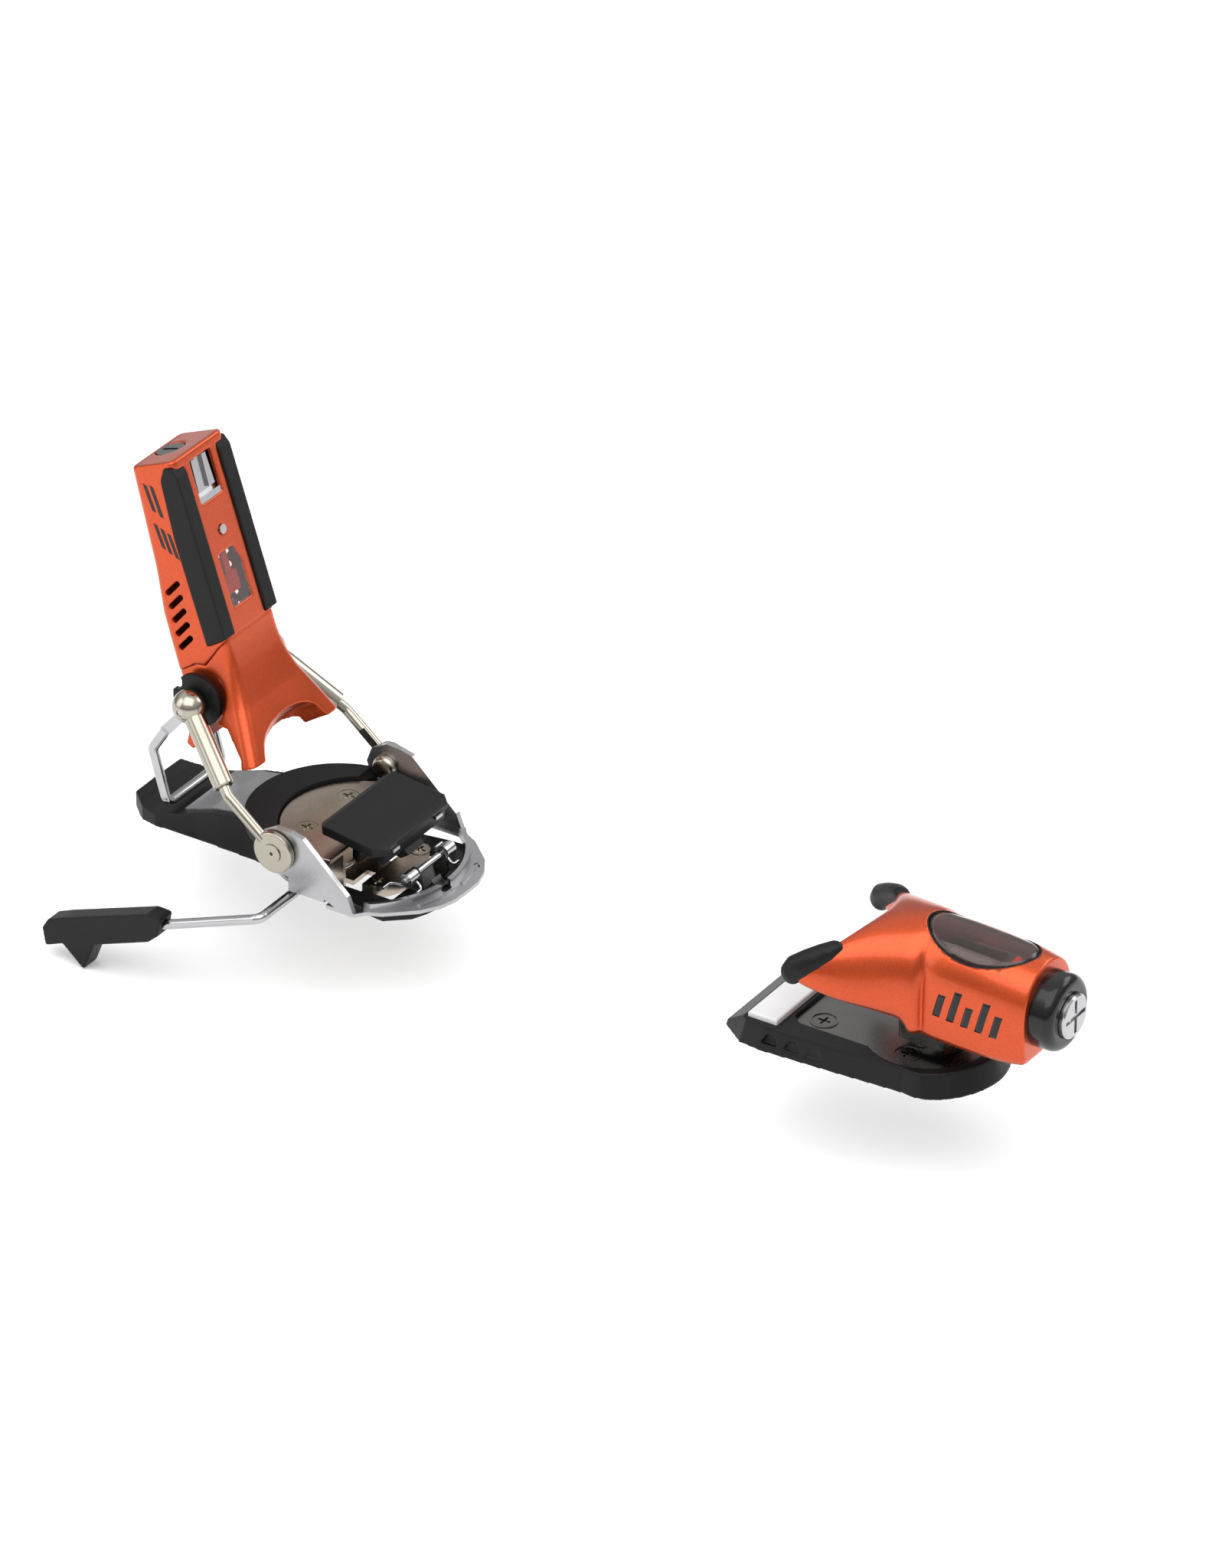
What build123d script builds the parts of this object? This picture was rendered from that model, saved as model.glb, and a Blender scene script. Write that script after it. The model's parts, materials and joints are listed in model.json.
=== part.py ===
from build123d import *
import os
from math import cos, radians, sin

# Alpine ski binding: a toe piece and a turntable heel piece, both screwed to one ski.
# Millimetres. +X points forward along the ski, +Y to the skier's left, +Z up.
# z = 0 is the ski's top surface, and the origin is the turntable's axis on the symmetry plane.

# ---- driving dimensions ----
FIT = 0.08                  # radial clearance of pins and shafts

SCREW_R = 2.75              # ski screws
SCREW_HEAD_R = 4.8
SHANK_R = 2.4               # plain shank inside the binding
SCREW_DEPTH = 7.5           # how far the screws reach into the ski

CORE_R = 36.0               # visible nickel centre plate
CORE_TOP = 22.0
CORE_LIP = 2.2
HUB_R = 26.0
HEEL_SCREW_X = (-17.0, 21.0)
HEEL_SCREW_Y = 16.4

RIVET = (-14.0, 25.0)       # x, z of the rivets that carry the heel arms
RIVET_R = 4.4
EAR_IN = 42.0               # inner face of the turntable's ears
EAR_OUT = 44.6
EYE_R = 10.0
EYE_OUT = 48.2
ARM_R = 2.5
ARM_Y = 46.2                # the rods lie at this y up to their bend
ARM_BEND = (-38.3, 45.1)    # x, z of the bend, from where the arms lean in to the housing
SLEEVE_R = 4.7
KNOB_R = 7.8
KNOB_Y = 31.0               # centre of the round knuckle at the top of each arm
KNOB_IN = 26.2

PIVOT = (-69.3, 74.4)       # x, z of the cross axle at the top of the arms
AXLE_R = 3.5
HOUSING = (-60.4, 83.2)     # x, z of the point that the leaning housing is measured from
TILT = 17.9                 # backward lean of the heel housing
SHELL_HALF = 19.5
WALL = 2.4

BRAKE = (-8.0, 2.7)         # x, z of the brake wire where it crosses the ski
WIRE_R = 2.3
BRAKE_HALF = 67.0           # 130 mm brake
CRANK = 16.0                # from the cross wire to the pedal's pin
CRANK_ANGLE = 33.0
CRANK_Y = 20.0

TOE_AXIS_X = 300.0
TOE_BOLT_Z = 44.5           # height of the release spring and its adjusting screw
TOE_LIFT = (300.0, 33.0)    # x, z of the cross pin for upward release
PLATE_TOP = 10.0
TOE_REAR_SCREW = (252.0, 13.5)
TOE_FRONT_SCREW = (296.3, 17.0)

os.makedirs("parts", exist_ok=True)

# ---- helpers ----
LEAN = radians(TILT)
UP_TILT = Vector(-sin(LEAN), 0, cos(LEAN))
FORE_TILT = Vector(cos(LEAN), 0, sin(LEAN))
HOUSING_POINT = Vector(HOUSING[0], 0, HOUSING[1])


def tilted(u, w, y=0.0):
    """A point of the leaning housing: u forward, w up along the lean, from its reference point."""
    return HOUSING_POINT + FORE_TILT * u + UP_TILT * w + Vector(0, y, 0)


def plate(plane, points, height, both=False):
    return extrude(plane * make_face(Polyline(*points, close=True)), height, both=both)


def side_slab(points, y_low, y_high):
    """A polygon of (x, z) points between two planes of constant y."""
    return plate(Plane.XZ.offset(-y_high), points, y_high - y_low)


def plan_slab(points, z_low, z_high):
    return plate(Plane.XY.offset(z_low), points, z_high - z_low)


def tilt_slab(points, y_low, y_high):
    """A polygon of (u, w) points of the leaning housing between two planes of constant y."""
    plane = Plane(origin=tilted(0, 0, y_high), x_dir=FORE_TILT, z_dir=(0, -1, 0))
    return plate(plane, points, y_high - y_low)


def front_slab(points, u_low, u_high):
    """A polygon of (y, w) points, seen from the front of the leaning housing."""
    plane = Plane(origin=tilted(u_low, 0), x_dir=(0, 1, 0), z_dir=FORE_TILT)
    return plate(plane, points, u_high - u_low)


def bar(start, direction, radius, length):
    """A round bar from start along direction."""
    return extrude(Plane(origin=start, z_dir=direction) * Circle(radius), length)


def tube(start, direction, outer, inner, length):
    ring = Circle(outer) - Circle(inner)
    return extrude(Plane(origin=start, z_dir=direction) * ring, length)


def wire_rod(points, radius, bend):
    """A bent round wire through points, with the given bend radius at its corners."""
    path = FilletPolyline(*points, radius=bend)
    start = Plane(origin=points[0], z_dir=Vector(*points[1]) - Vector(*points[0]))
    return sweep(start * Circle(radius), path=path)


def flat_wire(points, width, thickness, bend, across):
    """A bent flat wire; across is the direction of its width at the start."""
    path = FilletPolyline(*points, radius=bend)
    start = Plane(origin=points[0], x_dir=across, z_dir=Vector(*points[1]) - Vector(*points[0]))
    return sweep(start * RectangleRounded(width, thickness, min(width, thickness) * 0.4), path=path)


def coil(start, direction, radius, wire, pitch, turns):
    """A compression spring with its axis from start along direction."""
    spiral = Helix(pitch=pitch, height=pitch * turns, radius=radius)
    section = Plane(origin=spiral @ 0, z_dir=spiral % 0) * Circle(wire)
    spring = sweep(section, path=spiral, is_frenet=True)
    return Plane(origin=start, z_dir=direction) * spring


def mirror_y(shape):
    return mirror(shape, about=Plane.XZ)


def both_sides(half):
    """Closes a half outline of (x, y) points, y >= 0, into the whole symmetric outline."""
    return half + [(x, -y) for x, y in reversed(half) if y > 0.001]


def drafted(half, centre_x, shrink, z_low, z_high):
    """A symmetric outline whose sides lean in towards the top."""
    foot = both_sides(half)
    head = [(centre_x + (x - centre_x) * shrink, y * shrink) for x, y in foot]
    faces = [Pos(0, 0, z) * make_face(Polyline(*points, close=True))
             for z, points in ((z_low, foot), (z_high, head))]
    return loft(faces, ruled=True)


def soften(solid, radius, pick):
    """Rounds the edges that pick chooses."""
    return fillet(pick(solid.edges()), radius)


def countersunk(x, y, top):
    """A ski screw with a flat round head whose top is at the given height and a cross recess."""
    head = Pos(x, y, top - 2.4) * extrude(Circle(SCREW_HEAD_R), 2.4)
    shank = Pos(x, y, 0) * extrude(Circle(SHANK_R), top - 2.4)
    stud = Pos(x, y, -SCREW_DEPTH) * extrude(Circle(SCREW_R), SCREW_DEPTH)
    slot = Box(6.0, 1.2, 1.6) + Box(1.2, 6.0, 1.6)
    return head + shank + stud - Pos(x, y, top - 0.2) * slot


def screw_seat(x, y, top):
    head = Pos(x, y, top - 2.4) * extrude(Circle(SCREW_HEAD_R + 0.1), 12)
    shank = Pos(x, y, -1) * extrude(Circle(SCREW_R + 0.1), top + 2)
    return head + shank


nodes = {}

# ---- heel: fixed core on the ski ----
FLOOR_TOP = 6.0
FRONT_HEAD_TOP = FLOOR_TOP + 0.3
REAR_HEAD_TOP = CORE_TOP - 0.2
CORE_CHORD = 8.0            # the centre plate ends here, and the brake recess begins


def heel_core():
    behind = Pos(-100 + CORE_CHORD, 0, 50) * Box(200, 200, 200)
    hub = extrude(Circle(HUB_R), CORE_TOP - CORE_LIP) & behind
    top = Pos(0, 0, CORE_TOP - CORE_LIP) * extrude(Circle(CORE_R), CORE_LIP)
    top = soften(top & behind, 0.8, lambda e: e.group_by(Axis.Z)[-1])
    floor = Pos(16 + 8, 0, FLOOR_TOP / 2) * Box(16, 44, FLOOR_TOP)
    floor = floor & extrude(Circle(31), FLOOR_TOP)
    core = hub + top + floor + Pos(12, 0, 1.2) * Box(12, 12, 2.4)
    # channels for the brake's cross wire and its two cranks
    core -= Pos(BRAKE[0], 0, BRAKE[1] - 0.1) * Box(5.4, 80, 5.4)
    for y in (-CRANK_Y, CRANK_Y):
        core -= Pos(BRAKE[0] + 7, y, 6.5) * Box(20, 6, 15)
    # notch for the pedal's bracket
    core -= Pos(4.6, 0, 13.2) * Box(9.2, 34.6, 21.6)
    for y in (-HEEL_SCREW_Y, HEEL_SCREW_Y):
        core -= screw_seat(HEEL_SCREW_X[0], y, REAR_HEAD_TOP)
        core -= screw_seat(HEEL_SCREW_X[1], y, FRONT_HEAD_TOP)
    return core


def heel_screws():
    tops = ((HEEL_SCREW_X[0], REAR_HEAD_TOP), (HEEL_SCREW_X[1], FRONT_HEAD_TOP))
    return [countersunk(x, y, top) for x, top in tops for y in (-HEEL_SCREW_Y, HEEL_SCREW_Y)]


HEEL_OUTLINE_FRONT = [(52, 0), (51.5, 10), (49, 20), (46, 27), (36, 35.5), (24, 34.5), (12.5, 32.6),
                      (-1, 31), (-11.5, 29.5)]


def brake_base():
    """The black plastic plate under the turntable's front, fixed to the ski."""
    slab = plan_slab(both_sides(HEEL_OUTLINE_FRONT), 0, 3.0)
    slab -= Pos(0, 0, -1) * extrude(Circle(HUB_R + 0.2), 8) & Pos(-42, 0, 0) * Box(100, 90, 40)
    slab -= Pos(24, 0, 0) * Box(16.4, 44.4, 20)
    slab -= Pos(12, 0, 0) * Box(12.2, 12.2, 20)
    slab -= Pos(BRAKE[0], 0, BRAKE[1]) * Box(5.4, 90, 6)
    slab -= Pos(10.5, 0, 3) * Box(12, 47, 8)
    rim = Pos(0, 0, 3.0) * extrude(Circle(45.6) - Circle(42.5), 2.4)
    rim = rim & Pos(60, 0, 0) * Box(70, 52, 40)
    rim -= Pos(44, 0, 4) * Box(12, 8, 4)
    return slab + rim


SPRING_PIN = (36.5, 12.0)   # x, z of the pin that carries the brake's return springs


def brake_bracket():
    """The steel bracket in the recess that guides the pedal."""
    foot = Pos(36, 0, 3.0) * extrude(RectangleRounded(9, 24, 2), 1.6)
    half = []
    for y in (-1, 1):
        cheek = side_slab([(32.5, 4.6), (40.5, 4.6), (39.5, 12), (37.8, 15), (35.2, 15)], 9.5, 11)
        cheek = cheek if y > 0 else mirror_y(cheek)
        half.append(cheek)
    tongue = side_slab([(40.5, 3.0), (46, 3.0), (46, 4.4), (42, 4.4), (40.5, 6.4)], -3.5, 3.5)
    bracket = foot + half[0] + half[1] + tongue
    bracket -= bar((SPRING_PIN[0], -20, SPRING_PIN[1]), (0, 1, 0), 1.6, 40)
    return bracket


def brake_springs():
    """Two torsion springs on the bracket's pin, each with its legs."""
    springs = []
    for side in (-1, 1):
        x, z = SPRING_PIN
        body = tube((x, side * 11.3, z), (0, side, 0), 3.2, 1.7, 6.5)
        leg = wire_rod([(x, side * 17.1, z - 2.5), (28, side * 17.1, 8.3), (28, side * 23.5, 8.3)], 0.7, 1.8)
        foot = [(x + 1.5, side * 12.3, z - 1.9), (41.5, side * 12.3, 6.8), (41.5, side * 16.5, 6.8)]
        lower = wire_rod(foot, 0.7, 1.8)
        springs.append(body + leg + lower)
    return springs


def bracket_pin():
    return bar((SPRING_PIN[0], -19.5, SPRING_PIN[1]), (0, 1, 0), 1.6, 39)


nodes["heel_core"] = heel_core()
nodes["heel_screws"] = heel_screws()
nodes["brake_base"] = brake_base()
nodes["brake_bracket"] = brake_bracket()
nodes["bracket_pin"] = bracket_pin()
nodes["brake_springs"] = brake_springs()

# ---- heel: turntable that rotates about the core ----
RING_LOW = 3.4
RING_TOP = 5.2
RING_HOLE = 47.0
REAR_LOW = 6.0              # the turntable's rear half passes over the brake wire
REAR_TOP = 8.0
RING_OUTLINE = [(57.5, 0), (57.3, 9), (54.8, 17.5), (49.5, 26), (37, 37), (30, 40.5), (27, EAR_OUT),
                (12, EAR_OUT), (12, 0)]


def turntable_ring():
    flange = plan_slab(both_sides(RING_OUTLINE), RING_LOW, RING_TOP)
    hole = Pos(0, 0, RING_LOW - 1) * extrude(Circle(RING_HOLE), 8)
    hole = hole & Pos(60, 0, 0) * Box(120, 77, 60)
    flange -= hole
    lip = Pos(0, 0, RING_TOP) * extrude(Circle(RING_HOLE + 2.2) - Circle(RING_HOLE), 3.2)
    lip = lip & Pos(60, 0, 0) * Box(76, 76, 60)
    for side in (-1, 1):
        rib = Pos(0, 0, RING_TOP) * extrude(Circle(RING_HOLE + 6.2) - Circle(RING_HOLE + 4.6), 0.8)
        rib = rib & Pos(60, side * 13, 0) * Box(62, 20, 60)
        flange += rib
    notch = plan_slab([(44, -8.5), (50.3, -6.6), (50.3, -1.4), (44, 0.5)], RING_LOW - 1, 12)
    ring = flange + lip - notch
    ring -= bar((49.5, 19.5, 0), (0, 0, 1), 1.4, 12)
    ear = side_slab([(27, RING_LOW), (23.5, 12.5), (0, 34.6), (-6.5, 36.2), (-14, 36.6), (-22, 32),
                     (-24.6, 25), (-22.5, 18.5), (-16.5, 14.6), (-6, 12.5), (14, 6.6), (20, RING_LOW)],
                    EAR_IN, EAR_OUT)
    ear = soften(ear, 1.0, lambda e: e.filter_by(Axis.Y))
    rivet_hole = bar((RIVET[0], -60, RIVET[1]), (0, 1, 0), RIVET_R, 120)
    ring = ring + ear + mirror_y(ear) - rivet_hole
    rear = Pos(0, 0, REAR_LOW) * extrude(Circle(40.5) - Circle(33), REAR_TOP - REAR_LOW)
    rear = rear & Pos(-38, 0, 0) * Box(100, 100, 60)
    strut = side_slab([(-8, REAR_LOW), (11, REAR_LOW), (11, REAR_TOP), (-8, REAR_TOP)], 33, EAR_IN)
    wall = side_slab([(-8, REAR_LOW), (11, REAR_LOW), (11, 9.5), (-8, 14)], EAR_IN, EAR_OUT)
    for shape in (strut, wall):
        ring = ring + shape + mirror_y(shape)
    outline = [(11, REAR_LOW), (12, RING_LOW), (16, RING_LOW), (16, REAR_TOP), (11, REAR_TOP)]
    step = side_slab(outline, 38.5, EAR_IN)
    return ring + rear + step + mirror_y(step)


def arm_rivets():
    def rivet(side):
        inner_end = (RIVET[0], side * (EAR_IN - 0.2), RIVET[1])
        shank = bar(inner_end, (0, side, 0), RIVET_R, EYE_OUT - EAR_IN + 0.8)
        dome = bar(inner_end, (0, -side, 0), 6.2, 3.6)
        dome = fillet(dome.faces().sort_by(Axis.Y)[0 if side > 0 else -1].edges(), 2.8)
        return shank + dome - bar((RIVET[0], side * (EYE_OUT + 1.2), RIVET[1]), (0, -side, 0), 0.9, 2)
    return [rivet(-1), rivet(1)]


TAIL_OUTLINE = [(-24.5, 0), (-24.5, 27.4), (-40, 24.4), (-73, 23), (-95, 23.6), (-103, 22), (-110, 17),
                (-111, 0)]
TAIL_PROFILE = [(-24, 0.5), (-106, 0.5), (-111.5, 4), (-112, 9.5), (-109, 11.2), (-104, 8.6), (-98, 7.2),
                (-91, 8.4), (-84, 10.2), (-66, 16.2), (-50, 18.8), (-24, 18.8)]
SEAT_TOP = 18.8


def heel_base():
    """The black plastic carrier of the turntable, with its tail."""
    tail = plan_slab(both_sides(TAIL_OUTLINE), 0, 30) & side_slab(TAIL_PROFILE, -40, 40)
    flare = Pos(-12, 0, REAR_LOW) * Cone(28.5, 41, SEAT_TOP - REAR_LOW,
                                         align=(Align.CENTER, Align.CENTER, Align.MIN))
    flare = flare & Pos(-54, 0, 0) * Box(100, 100, 60)
    base = tail + flare
    base -= Pos(0, 0, -1) * extrude(Circle(HUB_R + 0.5), 40)
    base -= Pos(0, 0, SEAT_TOP) * extrude(Circle(CORE_R + 0.5), 10)
    ring_seat = Pos(0, 0, REAR_LOW - 2) * extrude(Circle(40.5) - Circle(33), REAR_TOP - REAR_LOW + 2)
    base -= ring_seat & Pos(-38, 0, 0) * Box(100, 100, 60)
    return base - seat_for_plate()


def rear_bumper():
    """The raised black arc behind the centre plate that the boot heel rests on."""
    outer = Pos(-12, 0, SEAT_TOP) * extrude(Circle(41.5), 5.2)
    inner = Pos(0, 0, SEAT_TOP - 1) * extrude(Circle(CORE_R + 0.5), 10)
    arc = (outer - inner) & Pos(-12 - 52, 0, 0) * Box(100, 100, 60)
    keep = plan_slab([(-14, 50), (-60, 50), (-60, -50), (-14, -50), (-20, -34), (-20, 34)], 0, 60)
    arc = arc & (keep + Pos(-60, 0, 20) * Box(82, 100, 40))
    arc -= bar((RIVET[0], -60, RIVET[1]), (0, 1, 0), 6.8, 120)
    return arc


PLATE_LINE = [(-80.5, 11.0), (-66, 15.8), (-50.5, 18.4), (-50.5, 19.9), (-66.3, 17.3), (-81, 12.5)]


def seat_for_plate():
    return side_slab([(-80.5, 11.0), (-66, 15.8), (-50.5, 18.4), (-50.5, 25), (-81, 25)], -19.8, 19.8)


def heel_tail_plate():
    slab = side_slab(PLATE_LINE, -19.5, 19.5)
    return slab - Pos(-12, 0, 0) * extrude(Circle(41.8), 40)


nodes["turntable_ring"] = turntable_ring()
nodes["arm_rivets"] = arm_rivets()
nodes["heel_base"] = heel_base()
nodes["rear_bumper"] = rear_bumper()
nodes["heel_tail_plate"] = heel_tail_plate()

# ---- heel: arms, sleeves and support bail ----
SLEEVE_LENGTH = 40.3        # down from the cross axle
SLEEVE_TOP = 1.5
ROD_END = 20.0
BORE_END = 18.5
AXLE_END = 33.5
BAIL_Y = 21.4
BAIL_IN = 20.0


def sleeve_point(side, distance):
    """A point on the sleeve's axis, down from the cross axle."""
    knob = Vector(PIVOT[0], side * KNOB_Y, PIVOT[1])
    bend = Vector(ARM_BEND[0], side * ARM_Y, ARM_BEND[1])
    return knob + (bend - knob).normalized() * distance


def heel_arm(side):
    """The eye on the turntable's ear and the rod that runs up into the sleeve."""
    eye_in = EAR_OUT + 0.3
    eye = bar((RIVET[0], side * eye_in, RIVET[1]), (0, side, 0), EYE_R, EYE_OUT - eye_in)
    eye = fillet(eye.edges(), 0.7)
    pivot = Vector(RIVET[0], side * ARM_Y, RIVET[1])
    bend = Vector(ARM_BEND[0], side * ARM_Y, ARM_BEND[1])
    root = pivot + (bend - pivot).normalized() * (EYE_R - 2.5)
    rod = wire_rod([root, bend, sleeve_point(side, ROD_END)], ARM_R, 7.5)
    rod -= bar((RIVET[0], side * eye_in, RIVET[1]), (0, -side, 0), 20, 12)
    return eye + rod - bar((RIVET[0], side * 30, RIVET[1]), (0, side, 0), RIVET_R + FIT, 30)


def arm_sleeve(side):
    """The sleeve on the rod, with the round knuckle that carries the cross axle."""
    low = sleeve_point(side, SLEEVE_LENGTH)
    aim = (sleeve_point(side, 0) - low).normalized()
    body = bar(low, aim, SLEEVE_R, SLEEVE_LENGTH - SLEEVE_TOP)
    body = chamfer(body.edges().group_by(Axis.Z)[0], 0.6)
    knob = Pos(PIVOT[0], side * KNOB_Y, PIVOT[1]) * Sphere(KNOB_R)
    outside = Pos(PIVOT[0], side * (KNOB_IN + 20), PIVOT[1]) * Box(160, 40, 160)
    sleeve = (body + knob) & outside
    sleeve -= bar(low - aim, aim, ARM_R + FIT, SLEEVE_LENGTH - BORE_END + 1)
    sleeve -= bar((PIVOT[0], side * 20, PIVOT[1]), (0, side, 0), AXLE_R + FIT, AXLE_END - 20 + 0.4)
    return sleeve - bar((PIVOT[0], side * 20, PIVOT[1]), (0, side, 0), 1.6 + FIT, 30)


def support_bail():
    """The flat chrome wire that rests on the tail and holds the arms up."""
    hinge = Vector(PIVOT[0], -BAIL_Y, PIVOT[1])
    start = Vector(-89.1, -BAIL_Y, 51.2)
    right = [start, Vector(-96.7, -BAIL_Y, 39.6), Vector(-89.4, -BAIL_Y, 13.2), Vector(-89.4, 0, 13.2)]
    half = flat_wire(right, 3.4, 4.6, 4.0, (0, 1, 0))
    aim = (start - hinge).normalized()
    across = Vector(-aim.Z, 0, aim.X) * 2.5
    end = start + aim * 1.5
    line = [(v.X, v.Z) for v in (hinge + across, end + across, end - across, hinge - across)]
    strap = side_slab(line, -22.2, -BAIL_IN)
    strap += bar((PIVOT[0], -BAIL_IN, PIVOT[1]), (0, -1, 0), 6.4, 2.2)
    strap -= bar((PIVOT[0], -10, PIVOT[1]), (0, -1, 0), AXLE_R + FIT, 30)
    half = half + strap
    return half + mirror_y(half)


def cross_axle():
    middle = bar((PIVOT[0], -AXLE_END, PIVOT[1]), (0, 1, 0), AXLE_R, 2 * AXLE_END)
    return middle + bar((PIVOT[0], -38.2, PIVOT[1]), (0, 1, 0), 1.6, 76.4)


nodes["arm_right"] = heel_arm(-1)
nodes["arm_left"] = heel_arm(1)
nodes["sleeve_right"] = arm_sleeve(-1)
nodes["sleeve_left"] = arm_sleeve(1)
nodes["support_bail"] = support_bail()
nodes["cross_axle"] = cross_axle()

# ---- heel: leaning housing ----
FACE_U = 9.6                # front face of the housing
TOP_W = 106.0
SEAM = [(FACE_U, 20), (4, 16.5), (-6, 8.5), (-11, 9.5), (-22.6, 6)]
BACK_LINE = [(-22.8, -2), (-21.9, 34), (-18.6, 56), (-14.6, 110)]    # u, w up the housing's back
CORNER = 3.5
WINDOW = [(-7, 31), (7, 31), (7, 49), (4, 56.5), (-7, 56.5)]
INSERT_W = (81, 102)
DIAL_U = -6.0


def cup_section(w, u_low, u_high, half, radius):
    """A rounded cross-section of the leaning housing at height w."""
    plane = Plane(origin=tilted((u_low + u_high) / 2, w), x_dir=FORE_TILT, z_dir=UP_TILT)
    return plane * RectangleRounded(u_high - u_low, 2 * half, radius)


def heel_shell():
    block = loft([cup_section(w, u, FACE_U, SHELL_HALF, CORNER) for u, w in BACK_LINE], ruled=True)
    shell = block & tilt_slab(SEAM + [(-40, 6), (-40, TOP_W - 2.5), (-12, TOP_W - 1.2), (20, TOP_W + 1.4),
                                      (20, 20)], -40, 40)
    shell = fillet(shell.faces().sort_by(Axis.Z)[-1].edges(), 1.2)
    cavity = tilt_slab([(FACE_U - WALL, -5), (FACE_U - WALL, TOP_W - 5), (-12.0, TOP_W - 5), (-16.2, 50),
                        (-19.8, 30), (-20.2, -5)], -SHELL_HALF + WALL, SHELL_HALF - WALL)
    shell -= cavity
    shell -= front_slab(WINDOW, FACE_U - 6, FACE_U + 2)
    shell -= front_slab([(-8, INSERT_W[0]), (8, INSERT_W[0]), (8, INSERT_W[1]), (-8, INSERT_W[1])],
                        FACE_U - 6, FACE_U + 2)
    shell -= bar(tilted(DIAL_U, TOP_W - 9), UP_TILT, 7.2, 20)
    shell -= bar(tilted(FACE_U - 6, 66), FORE_TILT, 2.2, 12)
    for side in (-1, 1):
        shell -= heel_strip(side)
        for slot in range(5):
            w = 17 + 6.6 * slot
            start = tilted(-17.2 + 0.4 * slot, w, side * (SHELL_HALF - 3))
            louvre = Plane(origin=start, x_dir=FORE_TILT.rotate(Axis.Y, -32), z_dir=(0, side, 0))
            shell -= extrude(louvre * Pos(5, 0) * SlotOverall(11, 2.4), 6)
    return shell


def heel_strip(side):
    """The rubber strip that wraps one front corner of the shell."""
    line = [(FACE_U + 1.2, 21), (FACE_U + 1.2, 99), (FACE_U - 1, 103.5), (FACE_U - 5.5, 103.5),
            (FACE_U - 9, 98), (FACE_U - 11, 70), (FACE_U - 10.5, 18)]
    outer = tilt_slab(line, 12.2, SHELL_HALF + 1.0)
    core = tilt_slab([(FACE_U - 1.2, 0), (FACE_U - 1.2, 130), (-40, 130), (-40, 0)], 0, SHELL_HALF - 1.2)
    strip = outer - core
    return strip if side > 0 else mirror_y(strip)


def heel_insert():
    """The bright metal catch plate in the upper window."""
    low, high = INSERT_W
    slab = front_slab([(-8, low), (8, low), (8, high), (-8, high)], FACE_U - 4.5, FACE_U - 3.0)
    for y in (-4, 4):
        rib = front_slab([(y - 2.2, low + 5), (y + 2.2, low + 5), (y + 1.4, high - 1), (y - 1.4, high - 1)],
                         FACE_U - 3.0, FACE_U - 1.6)
        slab += rib
    shelf = front_slab([(-8, low), (8, low), (8, low + 3), (-8, low + 3)], FACE_U - 3.0, FACE_U - 0.6)
    return slab + shelf


def front_pin():
    return bar(tilted(FACE_U - 2.4, 66), FORE_TILT, 2.2, 3.2)


def heel_window():
    return front_slab(WINDOW, FACE_U - WALL + 0.6, FACE_U - 0.3)


def heel_indicator():
    """The pointer that shows the release setting behind the window."""
    sled = front_slab([(-4.5, 36), (4.5, 36), (4.5, 45), (-4.5, 45)], FACE_U - 5.2, FACE_U - 3.6)
    mark = front_slab([(-4.5, 40), (4.5, 40), (4.5, 41.2), (-4.5, 41.2)], FACE_U - 3.6, FACE_U - 3.1)
    arm = front_slab([(-2, 45), (2, 45), (2, 66), (-2, 66)], FACE_U - 5.2, FACE_U - 4.0)
    return sled + mark + arm


def heel_dial():
    """The release adjusting screw in the top of the housing."""
    head = bar(tilted(DIAL_U, TOP_W - 6), UP_TILT, 6.6, 5.0)
    slot = Plane(origin=tilted(DIAL_U, TOP_W - 1), z_dir=UP_TILT) * Box(8.5, 1.8, 4)
    shaft = bar(tilted(DIAL_U, 52), UP_TILT, 3.0, TOP_W - 6 - 52)
    return head + shaft - slot


def heel_spring():
    return coil(tilted(DIAL_U, 21), UP_TILT, 7.6, 1.5, 5.0, 6)


def spring_piston():
    """The cam follower below the release spring."""
    crown = bar(tilted(DIAL_U, 10), UP_TILT, 9.6, 9)
    stem = bar(tilted(DIAL_U, 19), UP_TILT, 3.4, 16)
    return crown + stem


def spring_nut():
    """The nut that the adjusting screw drives down on to the release spring."""
    ring = tube(tilted(DIAL_U, 60), UP_TILT, 8.2, 3.0 + FIT, 6)
    lug = front_slab([(-3, 60), (3, 60), (3, 66), (-3, 66)], DIAL_U + 5, FACE_U - 5.2)
    return ring + lug


RING_R = 12.6
RING_IN = 22.5
RING_OUT = 25.8
CUP_SIDE = 19.6


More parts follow.
